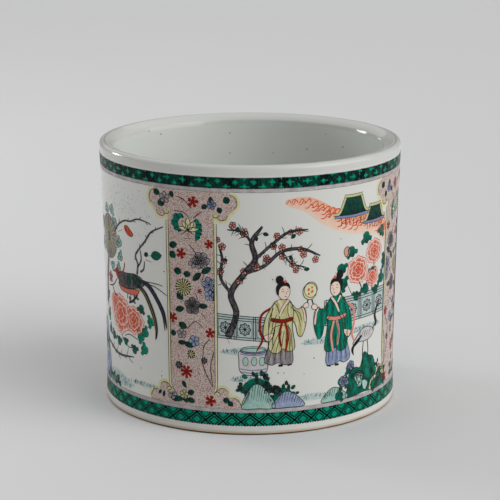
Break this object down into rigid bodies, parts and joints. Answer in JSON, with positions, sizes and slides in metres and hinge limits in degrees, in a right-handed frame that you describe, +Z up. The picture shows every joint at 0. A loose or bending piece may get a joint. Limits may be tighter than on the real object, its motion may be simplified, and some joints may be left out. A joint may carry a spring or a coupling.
{
  "type": "brush pot",
  "caption": "Cylindrical porcelain brush pot with a slightly waisted wall, thick grooved lip and broad foot ring, painted in famille verte enamels.",
  "frame": {"origin": "centre of the foot ring, on the surface that the pot stands on", "axes": "+Z up along the axis of the pot, -Y towards the front, +X to the right of the main panel"},
  "size_m": [0.18, 0.18, 0.1574],
  "materials": {
    "glazed_porcelain": "clear gloss glaze over white porcelain, painted in overglaze enamels; bare biscuit on the foot ring"
  },
  "bodies": {
    "root": {"porcelain_pot": "glazed_porcelain"}
  },
  "joints": []
}
